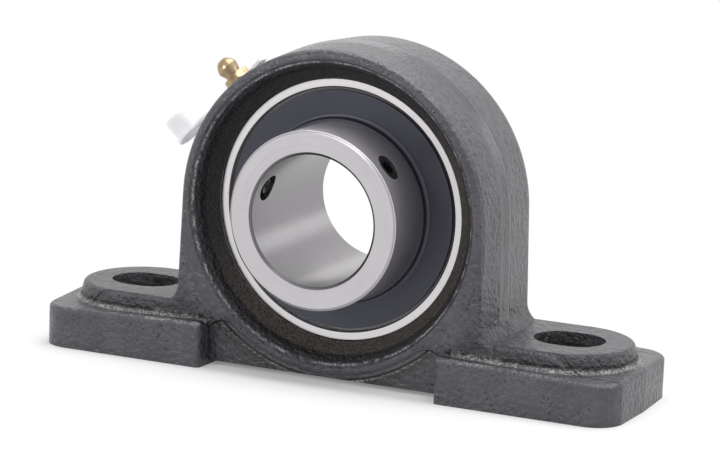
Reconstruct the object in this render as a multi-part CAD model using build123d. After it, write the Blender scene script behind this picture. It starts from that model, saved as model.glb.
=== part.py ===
from build123d import *
import os
from math import cos, pi, radians, sin, sqrt, tan

# Pillow block bearing, 208 size, for a 1.5 inch shaft. Millimetres.
# X runs along the base, the shaft lies along Y, Z is up. The origin is on the
# base plane, midway between the two bolt slots and under the shaft centre.

# ---- housing -------------------------------------------------------------
shaft_height = 49.2          # base plane to shaft centre
housing_length = 184.0
base_width = 50.0
bolt_to_end = 23.5           # middle of each bolt slot to the end of its foot
slot_length = 21.0
slot_width = 17.0
arch_radius = 48.4           # outside of the eye at the parting plane
body_width = 38.4            # eye and legs, along the shaft
body_draft = 3.0             # degrees, from the parting plane outward
body_edge_radius = 1.8
foot_inner_x = 36.4          # inner end of each foot, and of the leg above it
foot_height_inner = 14.4     # top of the foot beside the body
foot_height_outer = 12.8     # top of the foot at its far end
foot_draft = 2.0
foot_corner_radius = 9.0
foot_inner_radius = 1.6
foot_edge_radius = 1.4
pad_height = 18.0            # machined bolt pad above the base plane
pad_radius = 18.6
pad_draft = 16.0
pad_edge_radius = 1.4
pad_skirt_radius = 3.0       # hollow fillet from the pad down to the foot
leg_to_pad_radius = 5.0
leg_to_eye_share = 0.24      # rounding between leg and eye, of the height free below it
leg_flare = 1.8              # degrees, the legs spread toward the feet
heel_sink = 0.15             # the hollow between leg and pad ends this far in the pad
web_setback = 0.8            # web under the eye, behind the faces of the body
relief_height = 1.2          # the base is relieved between the feet

# ---- bearing seat and recess in the housing --------------------------------
seat_clearance = 0.06
seat_width = 23.0
cone_share = 0.2             # of the wall from seat to arch, where the cast cone meets the
cone_depth = 14.2            # steeper wall, this far from the middle of the housing
rim_share = 0.4              # of the same wall, at the mouth of the recess
mouth_radius = 1.6           # rounding of the mouth
loading_slot_height = 21.6
loading_slot_depth = 14.6
seat_groove_width = 8.2
seat_groove_middle = 2.6
seat_groove_depth = 1.4
duct_radius = 1.75

# ---- rolling bearing insert ------------------------------------------------
bore_diameter = 38.1
inner_ring_diameter = 52.0
inner_ring_front = 30.2      # middle of the raceway to the long front face
inner_ring_rear = 19.0
ring_chamfer = 0.8
ring_outside_diameter = 80.0
ring_width = 21.0
outer_land_radius = 34.0
outer_ring_chamfer = 0.35
ball_count = 9
ball_diameter = 12.0
pitch_diameter = 60.0
raceway_radius = 6.2
ball_play = 0.03             # radial, ball to each raceway
first_ball_angle = 90.0
lube_hole_radius = 0.95
lube_hole_offset = 5.9
lube_groove_depth = 0.6

# ---- cage --------------------------------------------------------------------
cage_thickness = 0.7
pocket_clearance = 0.08
cage_half_width = 2.3        # radial half width of the ribbon
rivet_radius = 0.95
rivet_head_radius = 1.7
rivet_head_height = 0.55

# ---- seals and slingers --------------------------------------------------------
seal_seat_radius = 35.8
seal_seat_offset = 7.4       # shoulder that the seal plate is pressed against
seal_plate_thickness = 0.7
seal_plate_inner_radius = 28.2
seal_step = 0.45
lip_outer_radius = 29.6
lip_clearance = 0.06
lip_thickness = 1.2
slinger_thickness = 0.8
slinger_radius = 35.0
slinger_rim_offset = 9.85
slinger_hub_offset = 9.3
slinger_bend_radius = 1.5
slinger_collar_end = 11.9

# ---- set screws ------------------------------------------------------------------
screw_angles = (40.0, 160.0)
screw_diameter = 8.0
screw_clearance = 0.05
screw_offset = 22.2          # from the raceway toward the long end
screw_recess = 0.35          # outer end below the ring's surface
screw_tip_gap = 0.25         # cup point short of the bore
screw_cup_radius = 2.0
screw_chamfer = 0.7
socket_across_flats = 4.0
socket_depth = 3.4

# ---- grease nipple and its dust cap --------------------------------------------------
nipple_angle = 140.0         # from +X toward +Z, about the shaft
boss_radius = 6.2
boss_height = 0.7            # above the arch
nipple_shank_radius = 3.0
nipple_shank_gap = 3.6       # bearing seat to the end of the shank
cap_gap = 0.2                # eyelet to boss and to hexagon
hex_across_flats = 8.0
hex_height = 2.2
nipple_waist_radius = 2.35
nipple_waist_height = 1.0
nipple_head_radius = 3.25
nipple_head_height = 5.2
nipple_tip_radius = 1.6
nipple_bore_radius = 1.3
nipple_feed_radius = 0.9
nipple_mouth_radius = 0.75
valve_seat_depth = 0.7       # mouth of the nipple to the start of its ball seat
valve_ball_radius = 1.15
valve_clearance = 0.02
valve_spring_room = 2.6      # between the ball and the shoulder under the spring
valve_spring_wire = 0.3
valve_spring_turns = 3

eyelet_clearance = 0.1
eyelet_width = 1.9
strap_thickness = 0.9
strap_width = 4.4
strap_length = 23.5          # nipple axis to cup axis
strap_lift = 1.9             # the strap rises this far toward the cup
strap_bend = 6.0
tab_length = 10.4
cup_radius = 3.9
cup_wall = 0.5
cup_height = 6.7
cup_flange_radius = 4.5
cup_edge_radius = 1.1
stub_radius = 1.1
stub_height = 0.8

# ---- sizes that follow from those above ------------------------------------------------
slot_x = housing_length / 2 - bolt_to_end
body_half = body_width / 2
web_half = body_half - web_setback
crotch_height = shaft_height - sqrt(arch_radius ** 2 - foot_inner_x ** 2)
leg_to_eye_radius = leg_to_eye_share * (crotch_height - relief_height)
sphere_radius = ring_outside_diameter / 2
seat_radius = sphere_radius + seat_clearance
seat_edge_radius = sqrt(seat_radius ** 2 - (seat_width / 2) ** 2)
cone_radius = seat_radius + cone_share * (arch_radius - seat_radius)
rim_radius = seat_radius + rim_share * (arch_radius - seat_radius)
ring_half = ring_width / 2
bore_radius = bore_diameter / 2
inner_ring_radius = inner_ring_diameter / 2
ball_radius = ball_diameter / 2
pitch_radius = pitch_diameter / 2
ball_pitch = 360.0 / ball_count
pocket_radius = ball_radius + pocket_clearance
boss_top = arch_radius + boss_height
eyelet_bottom = boss_top + cap_gap
hex_bottom = eyelet_bottom + strap_thickness + cap_gap
hex_top = hex_bottom + hex_height
nipple_top = hex_top + nipple_waist_height + nipple_head_height
nipple_bottom = seat_radius + nipple_shank_gap
cap_level = eyelet_bottom + strap_lift
heel_top = pad_height - heel_sink
past = 2.0                   # how far a cutter runs past the surface it opens

SHAFT = Pos(0, 0, shaft_height)


def band(inner, outer, start, end):
    """Rectangle between two radii (or X values) and two distances along the axis."""
    return Pos((inner + outer) / 2, (start + end) / 2) * Rectangle(outer - inner, abs(end - start))


def outline(*points):
    return make_face(Polyline(*points, close=True))


def turned(section):
    """Turn a section, drawn as (radius, distance along the shaft), about the shaft."""
    return SHAFT * revolve(section, Axis.Y)


def spun(section):
    """Turn a section, drawn as (radius, height), about the local Z axis."""
    return revolve(Plane.XZ * section, Axis.Z)


def radial(angle, along=0.0):
    """Frame on the shaft axis: Z outward at the angle, Y along the shaft, X tangent."""
    a = radians(angle)
    return Location(Plane(origin=(0, along, shaft_height),
                          x_dir=(sin(a), 0, -cos(a)), z_dir=(cos(a), 0, sin(a))))


def rod(radius, start, end):
    """Round bar along the local Z axis."""
    return Pos(0, 0, (start + end) / 2) * Cylinder(radius, end - start)


def both_ends(half):
    return half + mirror(half, Plane.XZ)


def both_sides(side):
    return side + mirror(side, Plane.YZ)


# ---- housing -----------------------------------------------------------------------------
def leg_outline():
    """Front view of the right leg, with its hollow corner on the bolt pad."""
    a = radians(leg_flare)
    top_x, top_z = arch_radius * cos(a), shaft_height + arch_radius * sin(a)
    side_x = top_x + (top_z - heel_top) * tan(a)
    far_x = side_x + 1.2 * leg_to_pad_radius
    leg = outline((foot_inner_x, relief_height), (far_x, relief_height), (far_x, heel_top),
                  (side_x, heel_top), (top_x, top_z), (foot_inner_x, top_z))
    return fillet(leg.vertices().sort_by_distance((side_x, heel_top))[0], leg_to_pad_radius)


def body():
    """The eye on its two short legs, drafted both ways from the parting plane."""
    shape = Pos(0, shaft_height) * Circle(arch_radius) + both_sides(leg_outline())
    crotch = [v for v in shape.vertices() if abs(abs(v.X) - foot_inner_x) < heel_sink
              and v.Y > relief_height + heel_sink]
    shape = fillet(crotch, leg_to_eye_radius)
    half = extrude(Plane.XZ * shape, body_half, taper=body_draft)
    rim = [e for e in half.faces().sort_by(Axis.Y)[0].edges()
           if e.geom_type != GeomType.LINE or e.bounding_box().size.Z > e.length / 2]
    return both_ends(fillet(rim, body_edge_radius))


def foot():
    """The right foot, its top falling gently outward."""
    side = outline((foot_inner_x, -past), (housing_length / 2, -past),
                   (housing_length / 2, foot_height_outer), (foot_inner_x, foot_height_inner))
    block = both_ends(extrude(Plane.XZ * side, base_width / 2, taper=foot_draft))
    block = split(block, Plane.XY, keep=Keep.TOP)

    def corners(part, outer):
        return [e for e in part.edges() if e.bounding_box().size.Z > foot_height_outer / 2
                and abs(e.center().Y) > base_width / 4 and (e.center().X > slot_x) == outer]

    block = fillet(corners(block, True), foot_corner_radius)
    inner = [e for e in corners(block, False) if e.center().X < foot_inner_x + past]
    block = fillet(inner, foot_inner_radius)
    top = [e for e in block.edges() if e.bounding_box().min.Z > foot_height_outer - 1]
    return fillet(top, foot_edge_radius)


def pad_section():
    """Half section of the bolt pad, with its hollow skirt running into the foot."""
    slope = tan(radians(pad_draft))
    root = foot_height_outer / 2
    skirt_z = foot_height_outer - pad_edge_radius / 2
    base_r = pad_radius + slope * (pad_height - skirt_z)
    side = outline((0, root), (base_r + pad_skirt_radius, root), (base_r + pad_skirt_radius, skirt_z),
                   (base_r, skirt_z), (pad_radius, pad_height), (0, pad_height))
    hollow = [v for v in side.vertices() if abs(v.X - base_r) < slope]
    side = fillet(hollow, pad_skirt_radius)
    crown = [v for v in side.vertices() if v.X > slope and v.Y > pad_height - slope]
    return fillet(crown, pad_edge_radius)


def pad():
    half = pad_section()
    start = foot_inner_x + leg_to_eye_radius
    straight = Pos(start, 0, 0) * extrude(Plane.YZ * both_sides(half), slot_x - start)
    return Pos(slot_x, 0, 0) * spun(half) + straight


def web():
    strip = band(-foot_inner_x - past, foot_inner_x + past, relief_height, crotch_height + past)
    return extrude(Plane.XZ * strip, web_half, both=True)


def recess_section():
    """Everything turned out of the housing: the spherical seat, cone, wall and mouth."""
    far = body_half + past
    half = outline((0, 0), (0, far), (rim_radius + mouth_radius, far), (rim_radius + mouth_radius, body_half),
                   (rim_radius, body_half - mouth_radius), (cone_radius, cone_depth),
                   (seat_edge_radius, seat_width / 2), (seat_edge_radius, 0))
    seat = Circle(seat_radius) & band(0, seat_radius, 0, seat_width / 2)
    full = half + seat
    return full + mirror(full, Plane.XZ)


def housing():
    half = foot() + pad()
    block = body() + both_sides(half) + web()
    between = band(-foot_inner_x, foot_inner_x, relief_height - arch_radius, relief_height)
    block -= extrude(Plane.XZ * between, base_width, both=True)
    block += radial(nipple_angle) * rod(boss_radius, sphere_radius + past, boss_top)
    block -= turned(recess_section())
    groove_outer = seat_radius + seat_groove_depth
    block -= turned(band(seat_edge_radius, groove_outer, seat_groove_middle - seat_groove_width / 2,
                         seat_groove_middle + seat_groove_width / 2))
    loading = turned(band(0, seat_radius, 0, loading_slot_depth))
    block -= loading & (SHAFT * Pos(0, loading_slot_depth / 2, 0)
                        * Box(housing_length, loading_slot_depth, loading_slot_height))
    block -= radial(nipple_angle) * rod(nipple_shank_radius, nipple_bottom, boss_top + past)
    block -= radial(nipple_angle) * rod(duct_radius, seat_edge_radius, nipple_bottom)
    for x in (-slot_x, slot_x):
        block -= Pos(x, 0, -past) * extrude(SlotOverall(slot_length, slot_width), pad_height + 2 * past)
    return block


# ---- insert ----------------------------------------------------------------------------------
def outer_ring():
    groove_middle = pitch_radius + ball_radius + ball_play - raceway_radius
    section = band(outer_land_radius, sphere_radius, -ring_half, ring_half) & Circle(sphere_radius)
    section -= Pos(groove_middle, 0) * Circle(raceway_radius)
    for side in (-1, 1):
        section -= band(outer_land_radius - 1, seal_seat_radius, side * seal_seat_offset, side * (ring_half + 1))
    face = [v for v in section.vertices() if abs(v.Y) > ring_half - outer_ring_chamfer / 2]
    section = chamfer(face, outer_ring_chamfer)
    groove_half = lube_hole_radius + lube_groove_depth / 2
    section -= band(sphere_radius - lube_groove_depth - lube_hole_radius / 2, sphere_radius + past,
                    lube_hole_offset - groove_half, lube_hole_offset + groove_half)
    ring = turned(section)
    return ring - radial(nipple_angle, lube_hole_offset) * rod(lube_hole_radius, outer_land_radius - 1,
                                                               sphere_radius + past)


def inner_ring():
    groove_middle = pitch_radius - ball_radius - ball_play + raceway_radius
    section = band(bore_radius, inner_ring_radius, -inner_ring_front, inner_ring_rear)
    section = chamfer(section.vertices(), ring_chamfer)
    section -= Pos(groove_middle, 0) * Circle(raceway_radius)
    ring = turned(section)
    for angle in screw_angles:
        ring -= radial(angle, -screw_offset) * rod(screw_diameter / 2, bore_radius - past,
                                                   inner_ring_radius + past)
    return ring


def ball_frame(index):
    return radial(first_ball_angle + index * ball_pitch) * Pos(0, 0, pitch_radius)


def rivet_frame(index):
    """Frame between two balls, with Z along the shaft."""
    spot = radial(first_ball_angle + (index + 0.5) * ball_pitch) * Pos(0, 0, pitch_radius)
    return spot * Rot(-90, 0, 0)


def ball(index):
    return ball_frame(index) * Sphere(ball_radius)


def cage_half(side):
    """Pressed ribbon on one side of the balls: flat lands between cupped pockets."""
    inner, outer = pitch_radius - cage_half_width, pitch_radius + cage_half_width
    cup_depth = side * (pocket_radius + cage_thickness)
    half = turned(band(inner, outer, 0, side * cage_thickness))
    room = turned(band(inner, outer, 0, cup_depth))
    for index in range(ball_count):
        half += room & (ball_frame(index) * Sphere(pocket_radius + cage_thickness))
    for index in range(ball_count):
        half -= ball_frame(index) * Sphere(pocket_radius)
        half -= rivet_frame(index) * Cylinder(rivet_radius, 4 * cage_thickness)
    return half


def rivet():
    """Headed at both ends, clamping the two cage halves."""
    head_end = cage_thickness + rivet_head_height
    section = band(0, rivet_radius, -cage_thickness, cage_thickness)
    for side in (-1, 1):
        section += band(0, rivet_head_radius, *sorted((side * cage_thickness, side * head_end)))
    return spun(section)


def cage_rivets():
    return Compound(children=[rivet_frame(index) * rivet() for index in range(ball_count)])


def plate_section():
    """Seal plate: flat outside, stepped outward a little toward the shaft."""
    middle = seal_seat_offset + seal_plate_thickness / 2
    knee = (seal_plate_inner_radius + seal_seat_radius) / 2
    path = Polyline((seal_seat_radius, middle), (knee + seal_step, middle),
                    (knee - seal_step, middle + seal_step), (seal_plate_inner_radius, middle + seal_step))
    return trace(path, seal_plate_thickness)


def lip_section():
    """Rubber lip moulded round the plate's inner edge, thinning toward the ring."""
    lip_radius = inner_ring_radius + lip_clearance
    middle = seal_seat_offset + seal_plate_thickness / 2 + seal_step
    low, high = middle - lip_thickness / 2, middle + lip_thickness / 2
    lip = outline((lip_radius, middle - lip_thickness / 4), (lip_outer_radius - lip_thickness, low),
                  (lip_outer_radius, low), (lip_outer_radius, high),
                  (lip_radius + lip_thickness, high), (lip_radius, middle))
    return lip - plate_section()


def slinger_section():
    """Sheet disc, slightly dished, turned outward into a collar on the inner ring."""
    collar = inner_ring_radius + slinger_thickness / 2
    path = FilletPolyline((slinger_radius, slinger_rim_offset), (collar, slinger_hub_offset),
                          (collar, slinger_collar_end), radius=slinger_bend_radius)
    return trace(path, slinger_thickness)


def on_side(section, side):
    """Turn a section drawn for the rear (+Y), or its mirror image for the front."""
    ring = turned(section)
    return ring if side > 0 else mirror(ring, Plane.XZ)


def set_screw(angle):
    """Cup point screw with a hexagon socket."""
    radius = screw_diameter / 2 - screw_clearance
    tip, head = bore_radius + screw_tip_gap, inner_ring_radius - screw_recess
    section = outline((0, tip + screw_chamfer), (screw_cup_radius, tip), (radius, tip + screw_chamfer * 2),
                      (radius, head - screw_chamfer / 2), (radius - screw_chamfer / 2, head), (0, head))
    screw = spun(section)
    socket = RegularPolygon(socket_across_flats / 2, 6, major_radius=False)
    screw -= Pos(0, 0, head - socket_depth) * extrude(socket, socket_depth + past)
    return radial(angle, -screw_offset) * screw


# ---- grease nipple and dust cap ----------------------------------------------------------------
valve_seat_z = nipple_top - valve_seat_depth
valve_ball_z = valve_seat_z - valve_ball_radius
valve_shoulder_z = valve_ball_z - valve_ball_radius - valve_spring_room


def nipple():
    head_z = hex_top + nipple_waist_height + nipple_head_radius * 0.7
    waist_z = hex_top + nipple_waist_height / 2
    skin = make_face([
        Polyline((nipple_tip_radius, nipple_top), (0, nipple_top), (0, nipple_bottom),
                 (nipple_shank_radius, nipple_bottom), (nipple_shank_radius, hex_top),
                 (nipple_waist_radius, waist_z)),
        Line((nipple_waist_radius, waist_z), (nipple_head_radius, head_z)),
        RadiusArc((nipple_head_radius, head_z), (nipple_tip_radius, nipple_top), -nipple_head_radius * 1.35),
    ])
    part = spun(skin)
    prism = RegularPolygon(hex_across_flats / 2, 6, major_radius=False)
    corner = hex_across_flats / 2 / cos(pi / 6)
    crown = spun(chamfer([v for v in band(0, corner, hex_bottom, hex_top).vertices() if v.X > 1],
                         hex_height * 0.3, hex_height * 0.18))
    part += crown & (Pos(0, 0, hex_bottom) * extrude(prism, hex_height))
    part -= rod(nipple_feed_radius, nipple_bottom - past, valve_shoulder_z + past / 2)
    part -= rod(nipple_bore_radius, valve_shoulder_z, valve_ball_z)
    part -= Pos(0, 0, valve_ball_z) * Sphere(valve_ball_radius + valve_clearance)
    part -= rod(nipple_mouth_radius, valve_ball_z, nipple_top + past)
    return radial(nipple_angle) * part


def nipple_ball():
    return radial(nipple_angle) * Pos(0, 0, valve_ball_z) * Sphere(valve_ball_radius)


def nipple_spring():
    coil_radius = nipple_bore_radius - valve_spring_wire
    height = valve_spring_room - valve_spring_wire * 1.5
    coil = Helix(height / valve_spring_turns, height, coil_radius)
    wire = sweep(Plane(origin=coil @ 0, z_dir=coil % 0) * Circle(valve_spring_wire / 2), path=coil)
    return radial(nipple_angle) * Pos(0, 0, valve_shoulder_z + valve_spring_wire / 2) * wire


def dust_cap():
    """One moulding: eyelet round the nipple, pull tab, strap and cup."""
    middle = eyelet_bottom + strap_thickness / 2
    hole = nipple_shank_radius + eyelet_clearance
    eyelet = rod(hole + eyelet_width, eyelet_bottom, eyelet_bottom + strap_thickness)
    strap_path = FilletPolyline((0, middle), (-strap_bend * 1.4, middle),
                                (-strap_length + strap_bend, middle + strap_lift),
                                (-strap_length, middle + strap_lift), radius=strap_bend)
    strap = extrude(Plane.XZ * trace(strap_path, strap_thickness), strap_width / 2, both=True)
    tab = Pos(tab_length / 2, 0, middle) * Box(tab_length, strap_width, strap_thickness)
    edge = [e for e in tab.edges() if e.center().X > tab_length - 0.1 and abs(e.center().Y) > strap_width / 4]
    tab = fillet(edge, strap_width / 4)
    rim = rod(cup_flange_radius, cap_level, cap_level + strap_thickness)
    top = cap_level + strap_thickness + cup_height
    shell = band(0, cup_radius, cap_level, top)
    shell = fillet([v for v in shell.vertices() if v.X > 1 and v.Y > top - 1], cup_edge_radius)
    hollow = band(0, cup_radius - cup_wall, cap_level - past, top - cup_wall)
    hollow = fillet([v for v in hollow.vertices() if v.X > 1 and v.Y > top - 1], cup_edge_radius - cup_wall)
    at_cup = Pos(-strap_length, 0, 0)
    cap = eyelet + strap + tab + at_cup * (rim + spun(shell) + rod(stub_radius, top - cup_wall / 2,
                                                                  top + stub_height))
    cap -= at_cup * spun(hollow)
    cap -= rod(hole, eyelet_bottom - past, eyelet_bottom + strap_thickness + past)
    return radial(nipple_angle) * cap


pieces = {
    "housing": housing(),
    "outer_ring": outer_ring(),
    "inner_ring": inner_ring(),
    "cage_front": cage_half(-1),
    "cage_rear": cage_half(1),
    "cage_rivets": cage_rivets(),
    "grease_nipple": nipple(),
    "nipple_ball": nipple_ball(),
    "nipple_spring": nipple_spring(),
    "dust_cap": dust_cap(),
}
for name, side in (("front", -1), ("rear", 1)):
    pieces[f"seal_{name}_plate"] = on_side(plate_section(), side)
    pieces[f"seal_{name}_lip"] = on_side(lip_section(), side)
    pieces[f"slinger_{name}"] = on_side(slinger_section(), side)
for index in range(ball_count):
    pieces[f"ball_{index + 1}"] = ball(index)
for index, angle in enumerate(screw_angles):
    pieces[f"set_screw_{index + 1}"] = set_screw(angle)

os.makedirs("parts", exist_ok=True)
for name, shape in pieces.items():
    export_step(shape, f"parts/{name}.step")
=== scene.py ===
import bpy
import bmesh
from functools import reduce
from math import cos, radians, sin
from mathutils import Matrix, Vector


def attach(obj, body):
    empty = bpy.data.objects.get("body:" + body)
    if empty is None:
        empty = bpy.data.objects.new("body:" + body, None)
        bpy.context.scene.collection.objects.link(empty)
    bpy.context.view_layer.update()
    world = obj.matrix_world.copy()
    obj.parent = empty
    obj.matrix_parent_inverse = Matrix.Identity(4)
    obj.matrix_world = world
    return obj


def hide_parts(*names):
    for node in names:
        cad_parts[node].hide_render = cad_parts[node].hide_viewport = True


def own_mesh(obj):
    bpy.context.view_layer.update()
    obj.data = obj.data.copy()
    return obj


# Pillow block bearing, dressed. Metres, in the frame of the solids: X along the
# base, Y along the shaft, Z up, origin on the base plane under the shaft centre.

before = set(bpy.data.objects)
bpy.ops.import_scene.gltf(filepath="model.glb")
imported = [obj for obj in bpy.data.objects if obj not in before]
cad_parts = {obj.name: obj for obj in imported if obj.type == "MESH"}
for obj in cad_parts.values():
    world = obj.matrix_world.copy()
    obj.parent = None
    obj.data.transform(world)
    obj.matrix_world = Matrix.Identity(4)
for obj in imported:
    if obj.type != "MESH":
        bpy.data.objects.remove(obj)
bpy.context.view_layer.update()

MM = 0.001
SHAFT_HEIGHT = 49.2 * MM
# radii about the shaft
BORE_RADIUS = 19.05 * MM
INNER_RING_RADIUS = 26.0 * MM
OUTER_RING_CORNERS = (35.8 * MM, 38.6 * MM)
SEAT_GROOVE_RADIUS = 41.5 * MM  # bottom of the groove in the seat
CONE_RADIUS = 41.7 * MM         # where the cone meets the recess's wall
RIM_RADIUS = 43.4 * MM          # where the wall meets the rounding at the mouth
MOUTH_RADIUS = 44.0 * MM        # on that rounding
EYE_RADIUS = 48.4 * MM
# reaches along the shaft, from the middle plane
RING_HALF = 10.5 * MM
CONE_EDGE = 11.5 * MM           # end of the seat, where the cone begins
WEB_FACE = 18.4 * MM
BODY_HALF = 19.2 * MM
LEG_ROOT = 20.2 * MM            # on top of a foot, just beside the leg
FOOT_HALF = 25.0 * MM
LONG_END = 30.2 * MM            # front face of the inner ring
# heights above the ground
FOOT_END = 12.8 * MM            # top of a foot at its far end
FOOT_TOP = 14.4 * MM            # top of a foot beside the body
PAD_TOP = 18.0 * MM
# bolt slots and their pads: along the base, and distances from the pad's middle line
SLOT_START_X = 58 * MM
SLOT_X = 68.5 * MM
SLOT_RADIUS = 8.5 * MM
PAD_RADIUS = 18.6 * MM
PAD_FOOT = 20.7 * MM            # in the hollow where the pad's skirt meets the foot


# ---- shader arithmetic -------------------------------------------------------
class Wire:
    """A value in a node tree that takes part in Python arithmetic."""

    def __init__(self, tree, socket):
        self.tree, self.socket = tree, socket

    def _join(self, operation, first, second):
        return self.tree.node("ShaderNodeMath", {"operation": operation}, {0: first, 1: second})

    def __add__(self, other): return self._join("ADD", self, other)
    def __radd__(self, other): return self._join("ADD", other, self)
    def __sub__(self, other): return self._join("SUBTRACT", self, other)
    def __rsub__(self, other): return self._join("SUBTRACT", other, self)
    def __mul__(self, other): return self._join("MULTIPLY", self, other)
    def __rmul__(self, other): return self._join("MULTIPLY", other, self)
    def __pow__(self, other): return self._join("POWER", self, other)
    def __abs__(self): return self._join("ABSOLUTE", self, 0)

    def low(self, other): return self._join("MINIMUM", self, other)
    def high(self, other): return self._join("MAXIMUM", self, other)
    def turn(self, other): return self._join("ARCTAN2", self, other)

    def rise(self, start, end):
        """0 below start, 1 above end, smooth between; start may be the larger."""
        return self.tree.node("ShaderNodeMapRange", {"interpolation_type": "SMOOTHSTEP"},
                              {"Value": self, "From Min": start, "From Max": end})

    def rise_mm(self, start, end):
        """The same for a length, with both ends in millimetres."""
        return self.rise(start * MM, end * MM)

    def past(self, edge, start, end):
        """rise() at an edge, its ends given in millimetres beyond the edge."""
        return self.rise(edge + start * MM, edge + end * MM)


def hypotenuse(a, b):
    """Long side of the right-angled triangle on two wires."""
    return (a * a + b * b) ** 0.5


class Tree:
    """A node tree, of a material or of the world."""

    def __init__(self, tree):
        self.tree = tree

    def node(self, kind, settings=None, sockets=None, out=0):
        """Make a node: its settings first, then a value or a wire for each socket."""
        made = self.tree.nodes.new(kind)
        for key, value in (settings or {}).items():
            setattr(made, key, value)
        for key, value in (sockets or {}).items():
            if isinstance(value, Wire):
                self.tree.links.new(value.socket, made.inputs[key])
            else:
                made.inputs[key].default_value = value
        return Wire(self, made.outputs[out])

    def ray(self, *kinds):
        """1 for rays of these kinds, 0 for others."""
        seen = [self.node("ShaderNodeLightPath", out=f"Is {kind} Ray") for kind in kinds]
        return reduce(Wire.high, seen)


class Finish(Tree):
    """One material, built round a Principled BSDF."""

    def __init__(self, name, **fixed):
        self.material = bpy.data.materials.new(name)
        self.material.use_nodes = True
        super().__init__(self.material.node_tree)
        self.shader = self.tree.nodes["Principled BSDF"]
        for socket, value in fixed.items():
            self.shader.inputs[socket.replace("_", " ")].default_value = value
        self.place = self.node("ShaderNodeTexCoord", out="Object")
        self.x, self.y, self.z = (self.node("ShaderNodeSeparateXYZ", sockets={0: self.place}, out=axis)
                                  for axis in "XYZ")

    def drive(self, socket, wire):
        """Feed one of the shader's sockets."""
        self.tree.links.new(wire.socket, self.shader.inputs[socket])

    def blend(self, amount, first, second):
        """Mix two colours, each three numbers or a wire."""
        def full(colour):
            return colour if isinstance(colour, Wire) else (*colour, 1)
        return self.node("ShaderNodeMix", {"data_type": "RGBA"},
                         {0: amount, 6: full(first), 7: full(second)}, out=2)

    def grain(self, per_metre, detail=3, rough=0.55, place=None):
        """Cloudy noise, 0 to 1 and mostly near a half."""
        return self.node("ShaderNodeTexNoise", sockets={
            "Vector": place or self.place, "Scale": per_metre, "Detail": detail, "Roughness": rough})

    def cells(self, per_metre):
        """Distance from scattered points, 0 at each."""
        return self.node("ShaderNodeTexVoronoi", sockets={
            "Vector": self.place, "Scale": per_metre}, out="Distance")

    def off_shaft(self):
        """Distance from the shaft's axis."""
        return hypotenuse(self.x, self.z - SHAFT_HEIGHT)

    def lay(self, radius, share):
        """Place for marks that run round the shaft; a small share draws them out."""
        around = (self.z - SHAFT_HEIGHT).turn(self.x)
        return self.node("ShaderNodeCombineXYZ", sockets={0: radius, 1: self.y, 2: around * share})

    def raise_by(self, height):
        """Bump whose height is in millimetres."""
        self.drive("Normal", self.node("ShaderNodeBump", sockets={
            "Strength": 1.0, "Distance": MM, "Height": height}))

    def cover(self, *names):
        """Put the finish on these solids."""
        for name in names:
            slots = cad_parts[name].data.materials
            slots.clear()
            slots.append(self.material)


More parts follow.
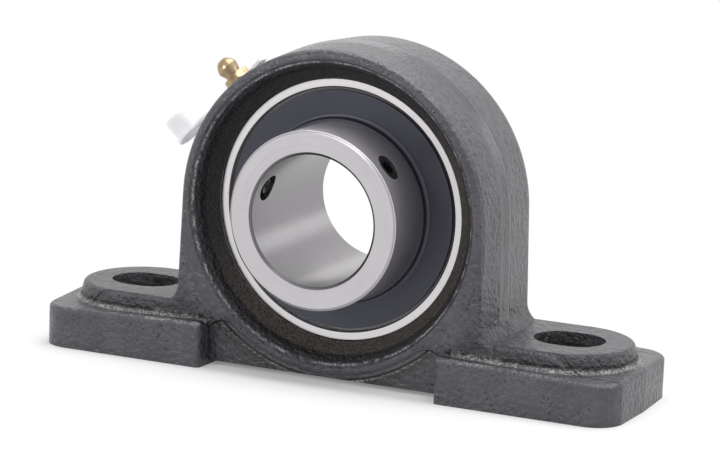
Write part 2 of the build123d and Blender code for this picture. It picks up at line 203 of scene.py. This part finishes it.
# ---- finishes --------------------------------------------------------------------
def cast_paint():
    """Dark grey paint over sand-cast iron, rubbed on its edges, raw in the eye's cone, with painted
    shade in its corners and recess and painted highlights on its pebbles and edges.
    """
    f = Finish("cast_paint", IOR=1.55)
    radius = f.off_shaft()
    side = abs(f.y)
    reach = abs(f.x)
    off_pad = hypotenuse((reach - SLOT_X).high(0), f.y)
    sand = f.grain(1900, 3, 0.6)
    stones = f.grain(640, 2, 0.5)
    waves = f.grain(170, 2, 0.5)
    patch = f.grain(95, 3, 0.5)
    pits = f.cells(640).rise(0.25, 0.08) * f.grain(150, 2).rise(0.5, 0.6)
    coarse = f.grain(2000, 3, 0.65) * 0.95 + f.cells(1300) * 0.4

    # the recess round the seat: a wall darkened by painted shade, and a cone the paint hardly reaches
    sunk = side.past(CONE_EDGE, -0.2, 0)
    hollow = radius.past(RIM_RADIUS, 0.8, -0.2) * sunk
    cone = radius.past(CONE_RADIUS, 0.7, -0.3) * sunk
    bare = cone * (f.x * 0.75 - f.z + SHAFT_HEIGHT).rise_mm(-22, 12)
    seat = radius.past(SEAT_GROOVE_RADIUS, 0.3, 0) * side.past(CONE_EDGE, 0, -0.1)
    # the web under the eye lies behind the eye's rim
    web_face = side.past(WEB_FACE, 0.6, 0.2) * side.past(WEB_FACE, -0.4, -0.2)
    web = web_face * f.z.rise_mm(20, 15) * radius.past(EYE_RADIUS, -0.4, 0.3)
    # smooth band beside the joint of the two half moulds, over the crown and down the legs
    outside = radius.past(EYE_RADIUS, -3.4, -1.4) * f.z.rise_mm(20, 24)
    drift = f.y + waves * MM
    joint = drift.rise_mm(-5.2, -3.4) * drift.rise_mm(2.3, 1.9) * outside
    step = drift.rise_mm(1.7, 2.4) * outside
    # coarser skin low on the legs and round the pads
    low_down = radius.past(EYE_RADIUS, 1.6, 7.6) * f.z.past(FOOT_TOP, -0.9, 0.6)
    rough_skin = low_down.low(side.past(FOOT_HALF, -1.4, -3))
    rim = radius.past(EYE_RADIUS, 1.1, 0.1) * side.past(BODY_HALF, -3, -1.5)
    calm = (1 - joint * 0.8) * (1 - cone) * (1 - rim * 0.45) * (1 - web * 0.45)
    skin = stones * (1.0 + rough_skin * 0.9) + sand * (0.24 + rough_skin * 0.6)
    skin = skin + waves * 0.45 - pits * 0.55
    f.raise_by(skin * calm + coarse * cone - step * 0.35 - web * 0.5)

    # painted shade in the corners: below the pads, beside the legs, between eye and web, on the recess's
    # wall and in the bolt slots
    skirt = off_pad.past(PAD_RADIUS, 0.3, 1.2) * off_pad.past(PAD_FOOT, 2.7, 1.3)
    skirt = skirt * f.z.past(PAD_TOP, -0.8, -1.8) * f.z.past(FOOT_END, -0.8, 0.2)
    beside = side.past(BODY_HALF, -0.3, 0.1) * side.past(BODY_HALF, 2.4, 0.8)
    beside = beside * f.z.past(FOOT_TOP, 1.6, 0) * f.z.past(FOOT_END, -0.3, 0.7)
    under = web * (0.3 + radius.past(EYE_RADIUS, 4.1, 0.8) * 0.7)
    slot = off_pad.past(SLOT_RADIUS, 0.4, 0.1) * reach.past(SLOT_START_X, -2, -1)
    slot = slot * f.z.past(PAD_TOP, -0.6, -1.6)
    painted_shade = (skirt.high(beside) * 0.8 + under + hollow * 0.9 + slot).low(1)

    # rubbed spots, partly paint worn to the iron and partly painted highlight along the rough edges:
    # mouth of the recess, skirts of the pads, the feet's upper edges
    mouth = abs(radius - MOUTH_RADIUS).rise_mm(0.45, 0.15) * side.past(BODY_HALF, -1.4, -1.0)
    lip = abs(off_pad - PAD_FOOT).rise_mm(1.2, 0.4) * f.z.past(FOOT_TOP, 1.8, 1.0)
    root = abs(side - LEG_ROOT).rise_mm(0.9, 0.3) * f.z.past(FOOT_TOP, 1.6, 0.6)
    root = root * reach.past(SLOT_START_X, 0, -4)
    foot_edge = f.z.past(FOOT_END, -0.7, 0.2) * f.z.past(FOOT_TOP, 0.2, -0.3)
    foot_edge = foot_edge * side.past(FOOT_HALF, -1.7, -1.0)
    speck = f.grain(1700, 3, 0.7).rise(0.46, 0.6)
    broken = f.grain(210, 3, 0.6).rise(0.4, 0.56)
    chips = f.cells(260).rise(0.22, 0.12) * f.grain(60, 2).rise(0.55, 0.62)
    worn = mouth * (broken + chips)
    worn = worn + lip.high(root) * f.z.past(FOOT_END, -0.3, 0.2) * (broken * 0.5 + 0.5)
    worn = worn + foot_edge * broken * 0.6
    rubbed_and_glint = worn.low(1) * (speck * 0.75 + chips * 0.5 + 0.15).low(1)

    # near black, for the pits and for the painted shade
    near_black = (0.010, 0.010, 0.011)
    paint = f.blend(patch.rise(0.35, 0.7), (0.055, 0.052, 0.062), (0.075, 0.071, 0.084))
    # painted shade in the hollows of the pebbles and painted highlight on their tops
    paint = f.blend(stones.rise(0.48, 0.34) * 0.3, paint, (0.018, 0.017, 0.020))
    paint = f.blend(stones.rise(0.6, 0.72) * 0.22 * calm, paint, (0.15, 0.145, 0.16))
    paint = f.blend(pits * 0.8, paint, near_black)
    paint = f.blend(sand.rise(0.62, 0.8) * 0.25, paint, (0.16, 0.155, 0.17))
    # painted shade, near black, in the corners, on the recess's wall and in the bolt slots
    paint = f.blend(painted_shade * 0.85, paint, near_black)
    primer = f.blend(coarse, (0.012, 0.012, 0.013), (0.06, 0.058, 0.06))
    iron = f.blend(f.cells(1700).rise(0.15, 0.5), (0.010, 0.009, 0.009), (0.11, 0.098, 0.086))
    # bright bare iron, partly real wear and partly a painted highlight on the rough edges
    bright = f.blend(chips, (0.6, 0.59, 0.59), (0.5, 0.45, 0.38))
    colour = f.blend(cone * 0.85, paint, primer)
    colour = f.blend(bare * 0.85, colour, iron)
    colour = f.blend(seat, colour, (0.35, 0.34, 0.34))
    f.drive("Base Color", f.blend(rubbed_and_glint * 0.85, colour, bright))
    gloss_lost = sand * 0.1 + cone * 0.16 + patch * 0.05 + rubbed_and_glint * 0.15 + hollow * 0.1
    f.drive("Roughness", 0.14 + gloss_lost)
    f.drive("Metallic", cone * 0.35 + hollow * 0.35)
    return f


def tinted(colour, share):
    """The colour made lighter or darker, no part of it past white."""
    return [min(1, part * share) for part in colour]


def turned_steel(name, colour, rough, lines, specks, corners):
    """Ground or turned steel, its fine lines running round the shaft, dark in its chamfers.

    Each corner is a radius, the chamfer's width, the end it lies at and how dark it is."""
    f = Finish(name, Metallic=1.0)
    radius = f.off_shaft()
    lay = f.lay(radius, 0.0004)
    fine = f.grain(9000, 2, 0.6, place=lay)
    broad = f.grain(1500, 2, 0.5, place=lay)
    mottle = f.grain(120, 3, 0.5)
    dot = f.cells(700).rise(0.12, 0.05) * f.grain(200, 1).rise(0.55, 0.6) * specks
    shade = f.blend(fine * 0.6 + mottle * 0.4, tinted(colour, 0.9), tinted(colour, 1.1))
    shade = f.blend(broad.rise(0.45, 0.75) * 0.35, shade, tinted(colour, 0.8))
    shade = f.blend(radius.past(BORE_RADIUS, 0.25, 0.05) * 0.6, shade, (0.12, 0.115, 0.12))
    for at, width, end, depth in corners:
        edge = abs(radius - at).rise(width, width * 0.8)
        edge = edge * abs(f.y).rise(end - width * 1.1, end - width * 0.9)
        shade = f.blend(edge * depth, shade, (0.03, 0.03, 0.032))
    f.drive("Base Color", f.blend(dot, shade, (0.05, 0.045, 0.04)))
    outside = radius.past(INNER_RING_RADIUS, -0.3, -0.1) * radius.past(INNER_RING_RADIUS, 1, 0.5)
    f.drive("Roughness", rough + fine * 0.12 + mottle * 0.05 + dot * 0.3 + outside * 0.16)
    f.raise_by(fine * lines + broad * lines * 0.6 - dot * 0.03)
    return f


def pressed_sheet(name, colour, rough):
    """Pressed and phosphated sheet, satin, with a faint turned lay."""
    f = Finish(name, Metallic=0.6)
    lines = f.grain(2600, 2, 0.5, place=f.lay(f.off_shaft(), 0.002))
    bloom = f.grain(55, 3, 0.5)
    grit = f.grain(4500, 2, 0.6)
    f.drive("Base Color", f.blend(bloom * 0.6 + lines * 0.4, tinted(colour, 0.85), tinted(colour, 1.18)))
    f.drive("Roughness", rough + bloom * 0.1 + grit * 0.08)
    f.raise_by(lines * 0.012 + grit * 0.006)
    return f


def nipple_brass():
    """Turned brass, dulled by handling."""
    f = Finish("nipple_brass", Metallic=1.0)
    turn = f.grain(1600, 3, 0.6)
    tarnish = f.grain(260, 3, 0.6).rise(0.4, 0.7)
    f.drive("Base Color", f.blend(tarnish, (0.42, 0.32, 0.20), (0.16, 0.115, 0.07)))
    f.drive("Roughness", 0.22 + tarnish * 0.16 + turn * 0.06)
    f.raise_by(turn * 0.05)
    return f


def cap_plastic():
    """Natural polyethylene: milky, it lets the light through from behind, helped by a faint painted glow
    from its emission.
    """
    f = Finish("cap_plastic", IOR=1.5, Subsurface_Weight=0.4, Subsurface_Scale=0.002,
               Subsurface_Radius=(1, 1, 1), Emission_Strength=0.14)
    cloud = f.grain(300, 3, 0.5)
    milk_and_glow = f.blend(cloud, (0.77, 0.77, 0.79), (0.81, 0.81, 0.83))
    f.drive("Base Color", milk_and_glow)
    # painted glow: the emission takes the milky colour
    f.drive("Emission Color", milk_and_glow)
    f.drive("Roughness", 0.34 + cloud * 0.12)
    f.raise_by(f.grain(2500, 2) * 0.004)
    return f


def black_oxide():
    """Blackened screw steel with a trace of oil."""
    f = Finish("screw_black", Metallic=0.8)
    worn = f.grain(900, 3, 0.6).rise(0.58, 0.7)
    oil = f.grain(350, 2, 0.5)
    f.drive("Base Color", f.blend(worn, (0.035, 0.035, 0.038), (0.18, 0.17, 0.17)))
    f.drive("Roughness", 0.3 + oil * 0.2)
    f.raise_by(f.grain(3500, 2) * 0.012)
    return f


def seal_rubber():
    """Moulded nitrile rubber."""
    f = Finish("seal_rubber")
    dust = f.grain(500, 3, 0.6)
    f.drive("Base Color", f.blend(dust, (0.018, 0.018, 0.02), (0.045, 0.044, 0.045)))
    f.drive("Roughness", 0.6 + dust * 0.2)
    f.raise_by(f.grain(2800, 3) * 0.03)
    return f


def polished_steel(name, colour):
    """Balls and spring wire, smooth with a faint haze."""
    f = Finish(name, Metallic=1.0)
    haze = f.grain(400, 3, 0.5)
    f.drive("Base Color", f.blend(haze, colour, tinted(colour, 0.93)))
    f.drive("Roughness", 0.06 + haze * 0.05)
    f.raise_by(f.grain(5000, 1) * 0.002)
    return f


balls = [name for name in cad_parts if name.startswith("ball_")]
outer_corners = [(radius, 0.35 * MM, RING_HALF, 0.8) for radius in OUTER_RING_CORNERS]
inner_corners = [(BORE_RADIUS, 0.8 * MM, LONG_END, 0.75), (INNER_RING_RADIUS, 0.6 * MM, LONG_END, 0.35)]

cast_paint().cover("housing")
turned_steel("outer_ring_steel", (0.68, 0.66, 0.67), 0.24, 0.005, 0.9, outer_corners).cover("outer_ring")
turned_steel("inner_ring_steel", (0.55, 0.53, 0.55), 0.22, 0.009, 0.3, inner_corners).cover("inner_ring")
pressed_sheet("slinger_steel", (0.058, 0.060, 0.075), 0.32).cover("slinger_front", "slinger_rear")
pressed_sheet("seal_plate_steel", (0.3, 0.3, 0.31), 0.4).cover("seal_front_plate", "seal_rear_plate")
pressed_sheet("cage_steel", (0.45, 0.44, 0.44), 0.35).cover("cage_front", "cage_rear")
pressed_sheet("rivet_steel", (0.5, 0.5, 0.5), 0.3).cover("cage_rivets")
polished_steel("spring_wire", (0.5, 0.5, 0.5)).cover("nipple_spring")
polished_steel("ball_steel", (0.75, 0.75, 0.77)).cover(*balls, "nipple_ball")
seal_rubber().cover("seal_front_lip", "seal_rear_lip")
nipple_brass().cover("grease_nipple")
cap_plastic().cover("dust_cap")
black_oxide().cover("set_screw_1", "set_screw_2")


def valve_spring():
    """A copy of the nipple's spring solid, its seams merged, hung on the housing in place of the
    original; the real spring gives way under the check ball.
    """
    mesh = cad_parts["nipple_spring"].data.copy()
    shape = bmesh.new()
    shape.from_mesh(mesh)
    bmesh.ops.remove_doubles(shape, verts=shape.verts, dist=0.0001 * MM)
    shape.to_mesh(mesh)
    shape.free()
    wire = bpy.data.objects.new("valve_spring", mesh)
    bpy.context.scene.collection.objects.link(wire)
    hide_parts("nipple_spring")
    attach(wire, "housing")
    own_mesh(wire)


valve_spring()


# ---- floor, light and camera ----------------------------------------------------------
FLOOR_REACH = 6.0                       # metres each way
BASE_REACH, BASE_HALF = 88 * MM, 22 * MM    # the shadow is full within this oblong
VIEW_TURN, VIEW_LIFT, VIEW_ROLL = radians(24.10), radians(11.91), radians(2.17)
CAMERA_BACK, CAMERA_RIGHT, CAMERA_UP = 888.7, 1.885, -10.043     # millimetres from the shaft's middle
FILM_WIDTH = 36                         # millimetres
FRAME_WIDTH = 720                       # pixels
FOCAL_PIXELS = 3043.9
SHIFT_PIXELS = (-1.9, 1.1)


def floor():
    """A white floor that keeps the soft shadow close round the feet."""
    mesh = bpy.data.meshes.new("floor")
    shape = bmesh.new()
    bmesh.ops.create_grid(shape, x_segments=1, y_segments=1, size=FLOOR_REACH)
    shape.to_mesh(mesh)
    shape.free()
    plane = bpy.data.objects.new("floor", mesh)
    bpy.context.scene.collection.objects.link(plane)
    f = Finish("floor_white", Roughness=0.9, Specular_IOR_Level=0.0)
    f.drive("Base Color", f.blend(f.grain(3, 1), (0.93, 0.93, 0.93), (0.95, 0.95, 0.95)))
    white = f.node("ShaderNodeEmission", sockets={"Color": (1, 1, 1, 1), "Strength": 1.0})
    away = hypotenuse((abs(f.x) - BASE_REACH).high(0), (abs(f.y) - BASE_HALF).high(0))
    whitened = 0.2 + away.rise_mm(0, 8) * 0.32 + away.rise_mm(2, 24) * 0.48
    mixed = f.node("ShaderNodeMixShader", sockets={
        0: whitened * f.ray("Camera", "Glossy"), 1: Wire(f, f.shader.outputs[0]), 2: white})
    output = next(node for node in f.tree.nodes if node.type == "OUTPUT_MATERIAL")
    f.tree.links.new(mixed.socket, output.inputs["Surface"])
    mesh.materials.append(f.material)


def sky(strength):
    """Even light, seen as plain white by the camera and in reflections."""
    world = bpy.data.worlds.new("studio")
    bpy.context.scene.world = world
    world.use_nodes = True
    back = world.node_tree.nodes["Background"]
    back.inputs["Color"].default_value = (1, 1, 1, 1)
    level = Tree(world.node_tree).ray("Camera", "Glossy", "Transmission") * (1 - strength) + strength
    world.node_tree.links.new(level.socket, back.inputs["Strength"])


def softbox(name, place, aim_height, size, power):
    """Flat lamp, turned toward a height on the bearing's middle line."""
    lamp = bpy.data.lights.new(name, "AREA")
    lamp.shape = "RECTANGLE"
    lamp.size, lamp.size_y = size
    lamp.energy = power
    holder = bpy.data.objects.new(name, lamp)
    holder.location = place
    toward = Vector((0, 0, aim_height)) - Vector(place)
    holder.rotation_euler = toward.to_track_quat("-Z", "Y").to_euler()
    bpy.context.scene.collection.objects.link(holder)


def camera():
    """Long lens from the front right, a little above the shaft."""
    back = Vector((sin(VIEW_TURN) * cos(VIEW_LIFT), -cos(VIEW_TURN) * cos(VIEW_LIFT), sin(VIEW_LIFT)))
    level = (-back).cross(Vector((0, 0, 1))).normalized()
    plumb = level.cross(-back)
    right = level * cos(VIEW_ROLL) + plumb * sin(VIEW_ROLL)
    up = plumb * cos(VIEW_ROLL) - level * sin(VIEW_ROLL)
    from_shaft = (back * CAMERA_BACK + right * CAMERA_RIGHT + up * CAMERA_UP) * MM
    lens = bpy.data.cameras.new("camera")
    lens.sensor_width = FILM_WIDTH
    lens.lens = FOCAL_PIXELS * FILM_WIDTH / FRAME_WIDTH
    lens.shift_x, lens.shift_y = (pixels / FRAME_WIDTH for pixels in SHIFT_PIXELS)
    lens.clip_start, lens.clip_end = 0.01, 20
    holder = bpy.data.objects.new("camera", lens)
    turned = Matrix((right, up, back)).transposed().to_4x4()
    holder.matrix_world = Matrix.Translation(Vector((0, 0, SHAFT_HEIGHT)) + from_shaft) @ turned
    bpy.context.scene.collection.objects.link(holder)
    bpy.context.scene.camera = holder


floor()
sky(0.35)
# name, place, height aimed at, size, watts
for softbox_facts in (
        ("top_light", (0.15, 0.25, 1.2), 0.05, (1.6, 1.2), 17.0),
        ("right_light", (0.9, 0.3, 0.8), 0.05, (0.8, 0.8), 1.7),
        ("back_light", (0.5, 1.0, 0.35), 0.05, (0.3, 0.3), 0.35),
        ("crown_light", (-0.45, 1.1, 0.5), 0.08, (0.3, 0.3), 0.2),
        ("front_light", (-0.55, -1.0, 0.5), 0.05, (0.35, 0.35), 3.2)):
    softbox(*softbox_facts)
camera()
bpy.context.scene.view_settings.view_transform = "Standard"
